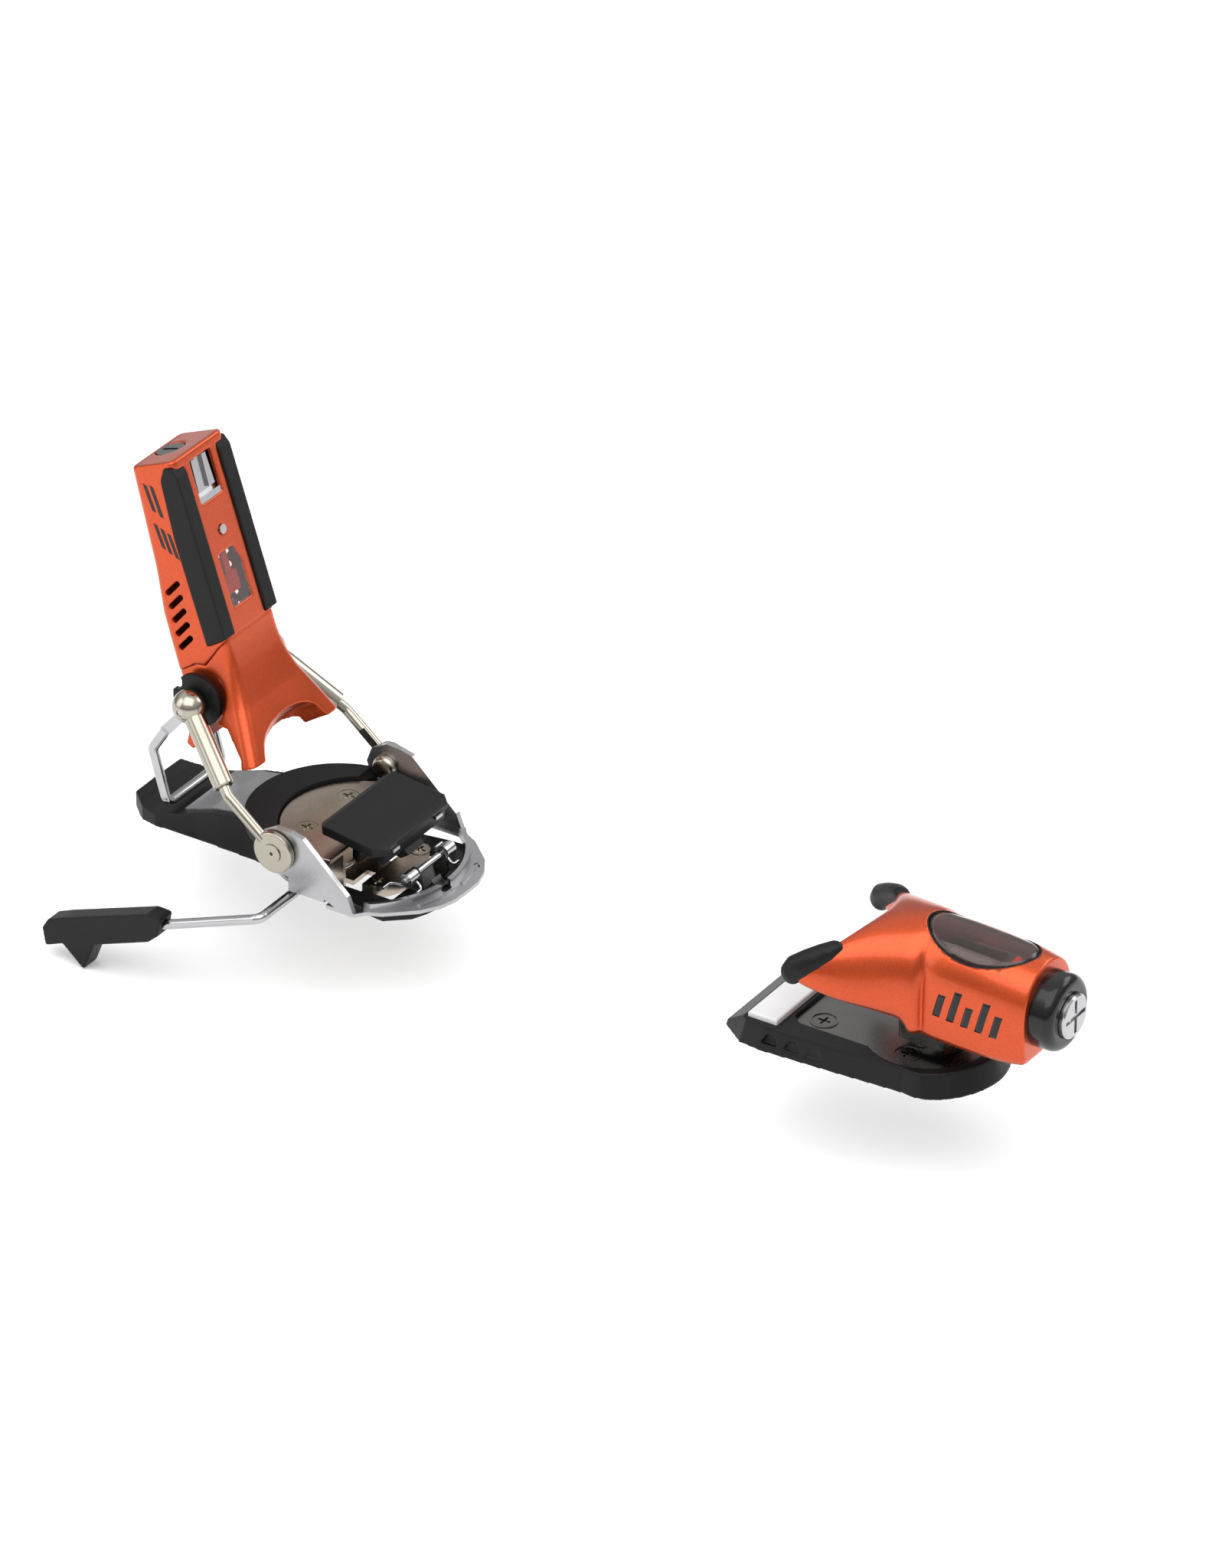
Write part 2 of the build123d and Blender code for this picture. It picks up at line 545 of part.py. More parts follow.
def heel_cup():
    """The lower half of the housing, with the two horns that hold the boot's heel."""
    upper = loft([cup_section(-12, -19, 12.2, 24.5, 5), cup_section(6, -22.4, 9.8, 19.6, 4),
                  cup_section(24, -22.4, FACE_U, SHELL_HALF, 3)], ruled=False)
    lower = loft([cup_section(-36, -3, 17.5, 34.5, 5), cup_section(-24, -11, 15, 29.5, 5),
                  cup_section(-12, -19, 12.2, 24.5, 5)], ruled=False)
    above = tilt_slab(SEAM + [(-30, 6), (-30, 60), (30, 60), (30, 20)], -40, 40)
    cup = upper + lower - above
    heel = Pos(-10, 0, 0) * extrude(Circle(33.5), 68)
    heel = fillet(heel.edges().group_by(Axis.Z)[-1], 9)
    cup -= heel
    cup -= side_slab([(-90, 30), (-33, 30), (-41, 56), (-52, 66), (-90, 66)], -60, 60)
    pocket = tilt_slab([(-17, -12), (5, -12), (7, 30), (-19, 30)], -15.5, 15.5)
    cup -= pocket
    for side in (-1, 1):
        cup -= bar((PIVOT[0], side * CUP_SIDE, PIVOT[1]), (0, side, 0), RING_R + 1.4, 20)
    return cup - bar((PIVOT[0], -60, PIVOT[1]), (0, 1, 0), AXLE_R, 120)


def step_spur():
    """The tab behind the boot's heel that closes the housing on stepping in."""
    tab = tilt_slab([(-19.5, -12.5), (-27, -20), (-33.5, -31), (-31, -34), (-26.5, -32), (-13, -17),
                     (-6, -12.5)], -15, 15)
    return tab - heel_cup_solid


def knuckle_ring(side):
    """The black washer between the housing and the knuckle, with two bites out of its rim."""
    ring = tube((PIVOT[0], side * RING_IN, PIVOT[1]), (0, side, 0), RING_R, AXLE_R, RING_OUT - RING_IN)
    for angle in (150, 268):
        bite = (PIVOT[0] + 14 * cos(radians(angle)), 0, PIVOT[1] + 14 * sin(radians(angle)))
        ring -= bar(bite, (0, side, 0), 4.6, 40)
    return ring


heel_cup_solid = heel_cup()
nodes["heel_shell"] = heel_shell()
nodes["heel_cup"] = heel_cup_solid
nodes["heel_strip_right"] = heel_strip(-1)
nodes["heel_strip_left"] = heel_strip(1)
nodes["heel_insert"] = heel_insert()
nodes["front_pin"] = front_pin()
nodes["heel_window"] = heel_window()
nodes["heel_indicator"] = heel_indicator()
nodes["heel_dial"] = heel_dial()
nodes["heel_spring"] = heel_spring()
nodes["spring_piston"] = spring_piston()
nodes["spring_nut"] = spring_nut()
nodes["step_spur"] = step_spur()
nodes["knuckle_ring_right"] = knuckle_ring(-1)
nodes["knuckle_ring_left"] = knuckle_ring(1)

# ---- brake ----
PIN_X = BRAKE[0] + CRANK * cos(radians(CRANK_ANGLE))
PIN_Z = BRAKE[1] + CRANK * sin(radians(CRANK_ANGLE))
FOOT_X = -60.5
FOOT_Z = -17.5


def brake_wire(side):
    """One side's wire: pedal pin, crank, crossing under the turntable, and arm."""
    points = [(PIN_X, side * 7, PIN_Z), (PIN_X, side * CRANK_Y, PIN_Z), (BRAKE[0], side * CRANK_Y, BRAKE[1]),
              (BRAKE[0], side * BRAKE_HALF, BRAKE[1]), (FOOT_X - 30, side * BRAKE_HALF, FOOT_Z - 11.6)]
    return wire_rod([Vector(*p) for p in points], WIRE_R, 3.2)


def brake_foot(side):
    """The plastic foot that digs into the snow, moulded round the wire's end."""
    outline = [(-58.5, -12.2), (-66, -11.8), (-113, -29.2), (-121, -32.6), (-124, -37.5), (-122.5, -46.5),
               (-113, -42.5), (-101.5, -52.5), (-95.5, -37.5), (-66, -26.3), (-60.6, -21.6)]
    foot = side_slab(outline, side * BRAKE_HALF - 4.8, side * BRAKE_HALF + 4.8)
    foot = fillet(foot.edges().filter_by(Axis.Y), 1.2)
    return foot - brake_wires[side]


def brake_pedal():
    """The tilted plastic pedal that the boot presses, with its bracket on the crank pin."""
    profile = [(-3.5, 30.2), (-3, 33), (0, 34), (27, 30.4), (30.5, 29), (30, 26), (26, 25.6), (0, 29.2)]
    top = side_slab(profile, -28.5, 28.5)
    outline = [(-4, -24), (0, -29), (26, -29), (31.5, -24), (31.5, 24), (26, 29), (0, 29), (-4, 24)]
    corners = plan_slab(outline, 0, 60)
    top = top & corners
    skirt = side_slab([(24, 26), (30.2, 26.4), (29, 20.5), (26, 20.5)], -24, 24)
    snout = side_slab([(12, 27.6), (26.5, 25.8), (27.5, 20.5), (30.5, 17.5), (26.5, 14.6), (17, 16),
                       (PIN_X + 4.5, 13), (PIN_X - 4, 14), (PIN_X - 4, 28.6)], -6.5, 6.5)
    lugs = side_slab([(PIN_X - 4, 28.6), (PIN_X - 3.6, 9.8), (PIN_X + 3.6, 9.8), (PIN_X + 4.5, 28)], 6.5, 14)
    pedal = top + skirt + snout + lugs + mirror_y(lugs)
    for side in (-1, 1):
        pedal -= bar((PIN_X, side * 6.6, PIN_Z), (0, side, 0), WIRE_R + FIT, 12)
        pedal -= tab_shape(side)
    return pedal


def tab_shape(side):
    tab = side_slab([(18, 27.3), (31.4, 25.4), (31.4, 26.9), (18, 28.8)], 14.5, 19.5)
    return tab if side > 0 else mirror_y(tab)


def pedal_tabs():
    """Small steel inserts that show at the pedal's front edge."""
    return [tab_shape(-1), tab_shape(1)]


brake_wires = {side: brake_wire(side) for side in (-1, 1)}
nodes["brake_wire_right"] = brake_wires[-1]
nodes["brake_wire_left"] = brake_wires[1]
nodes["brake_foot_right"] = brake_foot(-1)
nodes["brake_foot_left"] = brake_foot(1)
nodes["brake_pedal"] = brake_pedal()
nodes["pedal_tabs"] = pedal_tabs()

# ---- toe: base ----
TOE_OUTLINE = [(209.3, 0), (209.3, 26), (222, 35), (233, 36.2), (271.5, 34), (313, 31.3), (322.6, 24.5),
               (330, 11), (333.5, 0)]
RIM_TOP = 11.5
PAD_LOW = 12.0
PAD_TOP = 14.5
PLATE_OUTLINE = [(241, 0), (241, 19), (245, 22.5), (286, 22.5), (291, 27), (300, 28)]
ARC_CENTRE = 297.0
ARC_R = 28.0


def plate_outline(grow, z_low, z_high):
    body = plan_slab(both_sides([(x - (grow if x < 243 else 0), y + (grow if y > 0 else 0))
                                 for x, y in PLATE_OUTLINE]), z_low, z_high)
    return body + Pos(ARC_CENTRE, 0, z_low) * extrude(Circle(ARC_R + grow), z_high - z_low)


def toe_base():
    side = [(209, 0), (334, 0), (334, RIM_TOP), (246, RIM_TOP), (243, PAD_LOW), (222, PAD_LOW), (209, 2.2)]
    base = drafted(TOE_OUTLINE, 271, 0.93, 0, 16) & side_slab(side, -50, 50)
    base -= plate_outline(0.2, PLATE_TOP - 2.6, 30)
    base -= plan_slab(both_sides([(223.8, 0), (223.8, 31.0), (238.8, 31.0), (238.8, 0)]), PAD_LOW - 0.8, 30)
    for side in (-1, 1):
        base -= screw_hole(TOE_REAR_SCREW[0], side * TOE_REAR_SCREW[1])
        base -= screw_hole(TOE_FRONT_SCREW[0], side * TOE_FRONT_SCREW[1])
        for rib in range(3):
            x = 233 + 11 * rib
            pocket = side_slab([(x, 3.5), (x + 8, 3.5), (x + 6.5, 8.5), (x + 3, 8.5)], 33.2, 40)
            base -= pocket if side > 0 else mirror_y(pocket)
    return base


def screw_hole(x, y):
    return Pos(x, y, -1) * extrude(Circle(SCREW_R + 0.1), 30)


def afd_pad():
    """The low-friction plate under the boot's toe."""
    pad = plan_slab(both_sides([(224, 0), (224, 30.8), (238.6, 30.8), (238.6, 0)]), PAD_LOW - 0.8, PAD_TOP)
    return fillet(pad.edges().group_by(Axis.Z)[-1], 1.0)


def toe_plate():
    slab = plate_outline(0.0, PLATE_TOP - 2.6, PLATE_TOP)
    for side in (-1, 1):
        for x, y in (TOE_REAR_SCREW, TOE_FRONT_SCREW):
            slab += Pos(x, side * y, PLATE_TOP) * extrude(Circle(6.4) - Circle(5.6), 0.4)
            slab -= screw_seat(x, side * y, PLATE_TOP)
    return slab - bar((TOE_AXIS_X, 0, 0), (0, 0, 1), 7.0, 20)


def toe_screws():
    spots = (TOE_REAR_SCREW, TOE_FRONT_SCREW)
    return [countersunk(x, side * y, PLATE_TOP) for x, y in spots for side in (-1, 1)]


POST_R = 7.0


def toe_post():
    """The riveted post that the toe swivels on."""
    post = bar((TOE_AXIS_X, 0, PLATE_TOP - 2.6), (0, 0, 1), POST_R, 31)
    return post + bar((TOE_AXIS_X, 0, PLATE_TOP), (0, 0, 1), 10.5, 2.0)


nodes["toe_base"] = toe_base()
nodes["afd_pad"] = afd_pad()
nodes["toe_plate"] = toe_plate()
nodes["toe_screws"] = toe_screws()
nodes["toe_post"] = toe_post()

# ---- toe: yoke, housing and release spring ----
YOKE_HALF = 13.0
BARREL_LOW = 23.5
CAP_X = 353.0
CAP_R = 17.5
DISC_R = 10.2
DISC_FACE = 369.7
TOE_SHAFT_R = 4.0


def toe_yoke():
    """The steel block that swivels on the post and carries the housing's cross pin."""
    block = Pos(TOE_AXIS_X, 0, 26) * Box(24, 2 * YOKE_HALF, 24)
    block = fillet(block.edges().filter_by(Axis.Z), 3)
    block -= bar((TOE_AXIS_X, 0, 0), (0, 0, 1), POST_R + FIT, 41)
    return block - bar((TOE_LIFT[0], -30, TOE_LIFT[1]), (0, 1, 0), 2.5, 60)


def lift_pins():
    """Two stub pins between yoke and housing."""
    start = POST_R + 0.6
    return [bar((TOE_LIFT[0], side * start, TOE_LIFT[1]), (0, side, 0), 2.5, 10.6) for side in (-1, 1)]


def barrel_section(x, half, low, high, radius):
    plane = Plane(origin=(x, 0, (low + high) / 2), x_dir=(0, 1, 0), z_dir=(1, 0, 0))
    return plane * RectangleRounded(2 * half, high - low, radius)


def wing_section(x, inner, outer, low, high):
    plane = Plane(origin=(x, (inner + outer) / 2, (low + high) / 2), x_dir=(0, 1, 0), z_dir=(1, 0, 0))
    return plane * RectangleRounded(outer - inner, high - low, min(outer - inner, high - low) * 0.3)


def toe_housing():
    barrel = loft([barrel_section(306, 23, 28, 71.5, 14), barrel_section(330, 22, BARREL_LOW, 71.5, 17),
                   barrel_section(356, 20.5, BARREL_LOW, 67.5, 17)])
    throat = loft([barrel_section(276, 20, 44, 66, 8), barrel_section(306, 23, 28, 71.5, 14)])
    wing = loft([wing_section(251, 30, 40.5, 41, 51), wing_section(280, 17, 34.5, 34.5, 64),
                 wing_section(306, 8, 26, 28.5, 70)])
    body = barrel + throat + wing + mirror_y(wing)
    room = Pos(TOE_AXIS_X, 0, 27.5) * Box(48, 2 * YOKE_HALF + 1.4, 27.6)
    body -= room
    chamber = loft([barrel_section(312, 17.5, 30, 66, 12), barrel_section(346, 17.5, 29, 63, 12)])
    body -= chamber
    body -= Pos(325, 0, 60) * extrude(Ellipse(25.5, 15.8), 30)
    body -= bar((TOE_AXIS_X, -30, TOE_LIFT[1]), (0, 1, 0), 2.5 + FIT, 60) & Pos(300, 0, 33) * Box(60, 38, 60)
    body -= bar((340, 0, TOE_BOLT_Z), (1, 0, 0), TOE_SHAFT_R + FIT, 40)
    return body - bar((CAP_X, 0, TOE_BOLT_Z), (1, 0, 0), CAP_R + 0.01, 30)


def toe_window():
    """The clear oval cover over the toe's setting scale."""
    cover = loft([barrel_section(299, 23, 30, 71.6, 14), barrel_section(330, 22, 26, 71.5, 17),
                  barrel_section(352, 20.6, 26, 68, 17)])
    inner = loft([barrel_section(298, 20.8, 30, 69.6, 13), barrel_section(330, 19.8, 26, 69.5, 16),
                  barrel_section(353, 18.4, 26, 66, 16)])
    return (cover - inner) & Pos(325, 0, 60) * extrude(Ellipse(25.4, 15.7), 30)


def scale_plate():
    """The plate under the window that carries the setting marks."""
    slab = Pos(306.5, 0, 60.0) * extrude(RectangleRounded(8, 22, 2), 1.2)
    return slab & Pos(325, 0, 60) * extrude(Ellipse(25.2, 15.5), 30)


def toe_spring():
    return coil((316, 0, TOE_BOLT_Z), (1, 0, 0), 9.4, 2.0, 5.2, 3)


def toe_nut():
    """The nut on the adjusting screw, with the red pointer."""
    nut = tube((337.5, 0, TOE_BOLT_Z), (1, 0, 0), 12, TOE_SHAFT_R + FIT, 5)
    pointer = Pos(339.5, 0, TOE_BOLT_Z + 14.8) * Box(2.4, 7, 6.5)
    return nut + pointer


def toe_ring():
    """The black bumper ring round the adjusting screw."""
    ring = tube((CAP_X, 0, TOE_BOLT_Z), (1, 0, 0), CAP_R, DISC_R + FIT, 14)
    ring = fillet(ring.edges().filter_by(GeomType.CIRCLE).filter_by(lambda e: e.radius > CAP_R - 1)
                  .sort_by(Axis.X)[-1], 4.5)
    return ring


def toe_adjuster():
    disc = bar((DISC_FACE - 9, 0, TOE_BOLT_Z), (1, 0, 0), DISC_R, 9)
    disc = chamfer(disc.edges().group_by(Axis.X)[-1], 0.8)
    slots = Pos(DISC_FACE, 0, TOE_BOLT_Z) * (Box(3.0, 16.0, 2.0) + Box(3.0, 2.0, 16.0))
    shaft = bar((313, 0, TOE_BOLT_Z), (1, 0, 0), TOE_SHAFT_R, DISC_FACE - 9 - 313)
    return disc - slots + shaft


def wing_pad(side):
    """The black slide pad on a wing's tip."""
    pad = loft([wing_section(244.2, 33.5, 39.5, 40.5, 49), wing_section(248, 31, 41.2, 39.5, 52),
                wing_section(256, 27.5, 40.2, 38.6, 53.5)])
    pad = pad if side > 0 else mirror_y(pad)
    return pad - toe_body


toe_body = toe_housing()
nodes["toe_yoke"] = toe_yoke()
nodes["lift_pins"] = lift_pins()
nodes["toe_housing"] = toe_body
nodes["toe_window"] = toe_window()
nodes["scale_plate"] = scale_plate()
nodes["toe_spring"] = toe_spring()
nodes["toe_nut"] = toe_nut()
nodes["toe_ring"] = toe_ring()
nodes["toe_adjuster"] = toe_adjuster()
nodes["wing_pad_right"] = wing_pad(-1)
nodes["wing_pad_left"] = wing_pad(1)

for name, shape in nodes.items():
    if isinstance(shape, list):
        shape = Compound(children=shape)
    export_step(shape, f"parts/{name}.step")
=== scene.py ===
import json
from math import atan2, cos, hypot, pi, radians, sin

import bmesh
import bpy
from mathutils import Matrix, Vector
from mathutils.bvhtree import BVHTree


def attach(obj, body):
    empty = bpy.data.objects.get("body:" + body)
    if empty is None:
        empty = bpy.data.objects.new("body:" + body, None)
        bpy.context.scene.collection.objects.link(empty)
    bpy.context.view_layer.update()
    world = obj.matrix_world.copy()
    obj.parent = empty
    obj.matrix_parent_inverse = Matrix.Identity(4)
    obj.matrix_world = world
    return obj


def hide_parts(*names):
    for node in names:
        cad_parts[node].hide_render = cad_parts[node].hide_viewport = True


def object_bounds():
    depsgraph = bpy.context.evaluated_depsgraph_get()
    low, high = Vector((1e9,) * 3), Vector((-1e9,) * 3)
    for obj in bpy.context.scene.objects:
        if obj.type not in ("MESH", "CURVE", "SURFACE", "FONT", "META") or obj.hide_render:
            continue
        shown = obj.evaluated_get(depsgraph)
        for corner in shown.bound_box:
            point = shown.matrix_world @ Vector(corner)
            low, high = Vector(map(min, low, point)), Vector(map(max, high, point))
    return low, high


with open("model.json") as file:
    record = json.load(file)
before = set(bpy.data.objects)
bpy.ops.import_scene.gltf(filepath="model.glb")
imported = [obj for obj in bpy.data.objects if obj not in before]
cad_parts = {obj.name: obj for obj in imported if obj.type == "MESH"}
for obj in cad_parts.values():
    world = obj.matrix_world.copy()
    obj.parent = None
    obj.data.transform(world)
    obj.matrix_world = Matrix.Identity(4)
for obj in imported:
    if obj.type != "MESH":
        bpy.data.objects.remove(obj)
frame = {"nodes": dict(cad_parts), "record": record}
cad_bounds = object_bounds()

# The looks of an alpine ski binding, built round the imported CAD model. Metres, in the CAD's frame:
# +X forward along the ski, +Y to the skier's left, +Z up, z = 0 on the ski's top surface.
MM = 0.001

# The leaning heel housing: x, z of its lower end, and how far its up direction leans back, in degrees.
HOUSING = (-60.4, 83.2)
HOUSING_LEAN = 17.9
HOUSING_SIDE = 19.58
# Steps round an ellipse, such as the window's edge.
ELLIPSE_STEPS = 64


# ---- camera, light and floor ----
CAMERA_AZIMUTH = 33.0
CAMERA_ELEVATION = 30.5
CAMERA_DISTANCE = 4.6
CAMERA_LENS = 242.6
CAMERA_TARGET = Vector((0.13397, 0.0, 0.08421))


def direction(azimuth, elevation):
    a, e = radians(azimuth), radians(elevation)
    return Vector((sin(a) * cos(e), -cos(a) * cos(e), sin(e)))


def look(obj, away, target):
    """Places obj at away from target, facing it, with no roll."""
    obj.location = target + away
    obj.rotation_euler = away.to_track_quat("Z", "Y").to_euler()


def make_camera():
    data = bpy.data.cameras.new("camera")
    data.lens = CAMERA_LENS
    data.sensor_width = 36.0
    data.clip_end = 20.0
    camera = bpy.data.objects.new("camera", data)
    bpy.context.collection.objects.link(camera)
    look(camera, direction(CAMERA_AZIMUTH, CAMERA_ELEVATION) * CAMERA_DISTANCE, CAMERA_TARGET)
    bpy.context.scene.camera = camera


def make_light(name, azimuth, elevation, distance, size, power):
    data = bpy.data.lights.new(name, "AREA")
    data.shape = "RECTANGLE"
    data.size, data.size_y = size
    data.energy = power
    light = bpy.data.objects.new(name, data)
    bpy.context.collection.objects.link(light)
    look(light, direction(azimuth, elevation) * distance, CAMERA_TARGET)


def make_world(horizon, overhead):
    """A studio that is bright overhead and dimmer round the sides, so that metal has something to mirror."""
    world = bpy.data.worlds.new("studio")
    world.use_nodes = True
    tree = world.node_tree
    coords = tree.nodes.new("ShaderNodeTexCoord")
    split = tree.nodes.new("ShaderNodeSeparateXYZ")
    ramp = tree.nodes.new("ShaderNodeMapRange")
    ramp.inputs["From Min"].default_value = 0.05
    ramp.inputs["From Max"].default_value = 0.75
    ramp.inputs["To Min"].default_value = horizon
    ramp.inputs["To Max"].default_value = overhead
    tree.links.new(coords.outputs["Generated"], split.inputs["Vector"])
    tree.links.new(split.outputs["Z"], ramp.inputs["Value"])
    tree.links.new(ramp.outputs["Result"], tree.nodes["Background"].inputs["Strength"])
    tree.nodes["Background"].inputs["Color"].default_value = (1, 1, 1, 1)
    bpy.context.scene.world = world
    bpy.context.scene.view_settings.view_transform = "Standard"


# ---- materials ----
def new_material(name):
    material = bpy.data.materials.new(name)
    material.use_nodes = True
    tree = material.node_tree
    return material, tree, tree.nodes["Principled BSDF"]


def add(tree, kind, **values):
    node = tree.nodes.new(kind)
    for key, value in values.items():
        if key in node.inputs:
            node.inputs[key].default_value = value
        else:
            setattr(node, key, value)
    return node


def object_coords(tree, stretch=(1, 1, 1)):
    coords = add(tree, "ShaderNodeTexCoord")
    mapping = add(tree, "ShaderNodeMapping")
    mapping.inputs["Scale"].default_value = stretch
    tree.links.new(coords.outputs["Object"], mapping.inputs["Vector"])
    return mapping.outputs["Vector"]


def noise(tree, vector, scale, detail=3.0, rough=0.5):
    node = add(tree, "ShaderNodeTexNoise")
    node.inputs["Scale"].default_value = scale
    node.inputs["Detail"].default_value = detail
    node.inputs["Roughness"].default_value = rough
    tree.links.new(vector, node.inputs["Vector"])
    return node.outputs["Fac"]


def spread(tree, value, low, high, from_low=0.3, from_high=0.7):
    """Maps a noise value to the range low..high."""
    node = add(tree, "ShaderNodeMapRange")
    node.inputs["From Min"].default_value = from_low
    node.inputs["From Max"].default_value = from_high
    node.inputs["To Min"].default_value = low
    node.inputs["To Max"].default_value = high
    tree.links.new(value, node.inputs["Value"])
    return node.outputs["Result"]


def tint_between(tree, value, dark, light):
    ramp = add(tree, "ShaderNodeValToRGB")
    ramp.color_ramp.elements[0].position = 0.3
    ramp.color_ramp.elements[1].position = 0.7
    ramp.color_ramp.elements[0].color = (*dark, 1)
    ramp.color_ramp.elements[1].color = (*light, 1)
    tree.links.new(value, ramp.inputs["Fac"])
    return ramp.outputs["Color"]


def bump(tree, height, strength, depth):
    node = add(tree, "ShaderNodeBump")
    node.inputs["Strength"].default_value = strength
    node.inputs["Distance"].default_value = depth
    tree.links.new(height, node.inputs["Height"])
    return node.outputs["Normal"]


def grained(name, colour, vary, roughness, grain, depth, metal=0.0, stretch=(1, 1, 1), coat=0.0, cloud=60.0):
    """A material whose colour, gloss and surface all vary with fine grain and slow clouds."""
    material, tree, shader = new_material(name)
    fine = noise(tree, object_coords(tree, stretch), grain, 4.0, 0.6)
    slow = noise(tree, object_coords(tree), cloud, 2.0)
    dark = tuple(c * (1 - vary) for c in colour)
    light = tuple(min(1.0, c * (1 + vary)) for c in colour)
    tree.links.new(tint_between(tree, slow, dark, light), shader.inputs["Base Color"])
    tree.links.new(spread(tree, fine, roughness[0], roughness[1]), shader.inputs["Roughness"])
    tree.links.new(bump(tree, fine, 0.1 if metal else 0.5, depth), shader.inputs["Normal"])
    shader.inputs["Metallic"].default_value = metal
    shader.inputs["Specular IOR Level"].default_value = 0.5 if metal else 0.2
    shader.inputs["Coat Weight"].default_value = coat
    shader.inputs["Coat Roughness"].default_value = 0.06
    return material


def metallic_paint(name, colour):
    """Glossy orange lacquer over fine metal flakes."""
    material, tree, shader = new_material(name)
    coords = object_coords(tree)
    flakes = add(tree, "ShaderNodeTexVoronoi")
    flakes.inputs["Scale"].default_value = 2600.0
    tree.links.new(coords, flakes.inputs["Vector"])
    slow = noise(tree, coords, 35.0, 2.0)
    deep = tuple(c * 0.92 for c in colour)
    bright = (min(1, colour[0] * 1.06), colour[1] * 1.12, colour[2] * 1.2)
    sparkle = tint_between(tree, flakes.outputs["Color"], deep, bright)
    tree.links.new(sparkle, shader.inputs["Base Color"])
    tree.links.new(spread(tree, slow, 0.30, 0.38), shader.inputs["Roughness"])
    tree.links.new(bump(tree, flakes.outputs["Distance"], 0.05, 0.00002), shader.inputs["Normal"])
    shader.inputs["Metallic"].default_value = 0.85
    shader.inputs["Coat Weight"].default_value = 0.35
    shader.inputs["Coat Roughness"].default_value = 0.07
    return material


def clear_plastic(name, colour, roughness):
    material, tree, shader = new_material(name)
    haze = noise(tree, object_coords(tree), 900.0, 2.0)
    tree.links.new(spread(tree, haze, roughness, roughness + 0.05), shader.inputs["Roughness"])
    shader.inputs["Base Color"].default_value = (*colour, 1)
    shader.inputs["Transmission Weight"].default_value = 1.0
    shader.inputs["IOR"].default_value = 1.46
    return material


MATERIALS = {
    "orange_paint": metallic_paint("orange_paint", (0.53, 0.066, 0.014)),
    "black_plastic": grained("black_plastic", (0.005, 0.005, 0.0055), 0.15, (0.36, 0.48), 1400, 0.00008),
    "black_rubber": grained("black_rubber", (0.007, 0.007, 0.0075), 0.10, (0.50, 0.66), 2200, 0.00006),
    "black_gloss": grained("black_gloss", (0.005, 0.005, 0.006), 0.10, (0.16, 0.26), 1100, 0.00002, coat=0.3),
    "satin_aluminium": grained("satin_aluminium", (0.38, 0.38, 0.39), 0.05, (0.26, 0.33), 900, 0.00001,
                               metal=1.0, stretch=(1, 3, 1)),
    "nickel_plate": grained("nickel_plate", (0.36, 0.31, 0.26), 0.04, (0.26, 0.32), 500, 0.000005, metal=1.0),
    "champagne_nickel": grained("champagne_nickel", (0.37, 0.345, 0.29), 0.04, (0.18, 0.24), 700, 0.000005,
                                metal=1.0),
    "chrome": grained("chrome", (0.43, 0.43, 0.44), 0.03, (0.15, 0.20), 600, 0.000005, metal=1.0),
    "dark_steel": grained("dark_steel", (0.15, 0.147, 0.144), 0.08, (0.22, 0.30), 900, 0.00001, metal=1.0),
    "clear_cover": clear_plastic("clear_cover", (0.86, 0.60, 0.55), 0.02),
    "pale_plastic": grained("pale_plastic", (0.62, 0.62, 0.63), 0.04, (0.30, 0.42), 800, 0.00003),
    "red_plastic": grained("red_plastic", (0.55, 0.02, 0.012), 0.08, (0.25, 0.35), 900, 0.00003),
}


def paint(obj, slot):
    obj.data.materials.clear()
    obj.data.materials.append(MATERIALS[slot])


def paint_cad_nodes():
    for entry in frame["record"]["subparts"]:
        paint(frame["nodes"][entry["node"]], entry["material_slot"])


make_camera()
make_light("key", 20, 60, 1.8, (2.2, 1.8), 25)
make_light("side", -50, 25, 2.0, (1.2, 1.6), 11)
make_light("rim", 150, 35, 2.0, (1.6, 0.8), 12)
make_world(0.24, 1.05)
paint_cad_nodes()


# ---- mesh helpers ----
def finish_mesh(name, bm, slot, body, replaced=(), smooth=True):
    """Turns a bmesh in millimetres into a piece that rides on body and stands for the replaced nodes."""
    bmesh.ops.recalc_face_normals(bm, faces=bm.faces)
    bmesh.ops.scale(bm, vec=(MM, MM, MM), verts=bm.verts)
    mesh = bpy.data.meshes.new(name)
    bm.to_mesh(mesh)
    bm.free()
    for face in mesh.polygons:
        face.use_smooth = smooth
    piece = bpy.data.objects.new(name, mesh)
    bpy.context.collection.objects.link(piece)
    paint(piece, slot)
    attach(piece, body)
    if replaced:
        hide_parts(*replaced)
    return piece


def apply_modifiers(piece):
    depsgraph = bpy.context.evaluated_depsgraph_get()
    mesh = bpy.data.meshes.new_from_object(piece.evaluated_get(depsgraph))
    old = piece.data
    piece.modifiers.clear()
    piece.data = mesh
    bpy.data.meshes.remove(old)


def subdivide(piece, levels):
    modifier = piece.modifiers.new("subdivision", "SUBSURF")
    modifier.levels = levels
    modifier.render_levels = levels
    apply_modifiers(piece)


def cutter(name, bm):
    bmesh.ops.recalc_face_normals(bm, faces=bm.faces)
    bmesh.ops.scale(bm, vec=(MM, MM, MM), verts=bm.verts)
    mesh = bpy.data.meshes.new(name)
    bm.to_mesh(mesh)
    bm.free()
    tool = bpy.data.objects.new(name, mesh)
    bpy.context.collection.objects.link(tool)
    return tool


